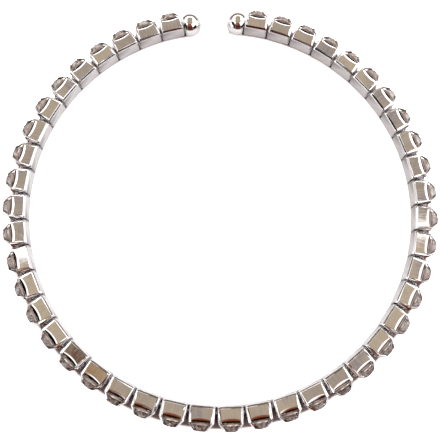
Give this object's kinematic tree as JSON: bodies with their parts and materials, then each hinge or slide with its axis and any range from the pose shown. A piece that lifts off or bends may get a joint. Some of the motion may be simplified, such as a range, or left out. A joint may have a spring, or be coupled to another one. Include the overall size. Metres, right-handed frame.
{
  "type": "stretch bracelet",
  "caption": "Flexible open bangle: a row of square prong-set cups with outward-facing round crystals, strung side by side on a hidden spring wire, with a polished ball at each end.",
  "frame": {"origin": "centre of the bangle's box in plan, at the height of its lowest point", "axes": "+Z along the axis of the ring, straight up as the bangle lies on a table; the gap between the balls faces +Y"},
  "size_m": [0.0672, 0.0666, 0.0038],
  "materials": {
    "plated_metal": "mirror-polished silver-coloured plating",
    "crystal": "clear cut crystal, foiled at the back",
    "spring_steel": "plain drawn wire"
  },
  "bodies": {
    "root": {"setting_01": "plated_metal", "setting_02": "plated_metal", "setting_03": "plated_metal", "setting_04": "plated_metal", "setting_05": "plated_metal", "setting_06": "plated_metal", "setting_07": "plated_metal", "setting_08": "plated_metal", "setting_09": "plated_metal", "setting_10": "plated_metal", "setting_11": "plated_metal", "setting_12": "plated_metal", "setting_13": "plated_metal", "setting_14": "plated_metal", "setting_15": "plated_metal", "setting_16": "plated_metal", "setting_17": "plated_metal", "setting_18": "plated_metal", "setting_19": "plated_metal", "setting_20": "plated_metal", "setting_21": "plated_metal", "setting_22": "plated_metal", "setting_23": "plated_metal", "setting_24": "plated_metal", "setting_25": "plated_metal", "setting_26": "plated_metal", "setting_27": "plated_metal", "setting_28": "plated_metal", "setting_29": "plated_metal", "setting_30": "plated_metal", "setting_31": "plated_metal", "setting_32": "plated_metal", "setting_33": "plated_metal", "setting_34": "plated_metal", "setting_35": "plated_metal", "setting_36": "plated_metal", "setting_37": "plated_metal", "setting_38": "plated_metal", "setting_39": "plated_metal", "setting_40": "plated_metal", "setting_41": "plated_metal", "setting_42": "plated_metal", "setting_43": "plated_metal", "setting_44": "plated_metal", "setting_45": "plated_metal", "ball_left": "plated_metal", "ball_right": "plated_metal", "core_wire": "spring_steel"}
  },
  "joints": []
}
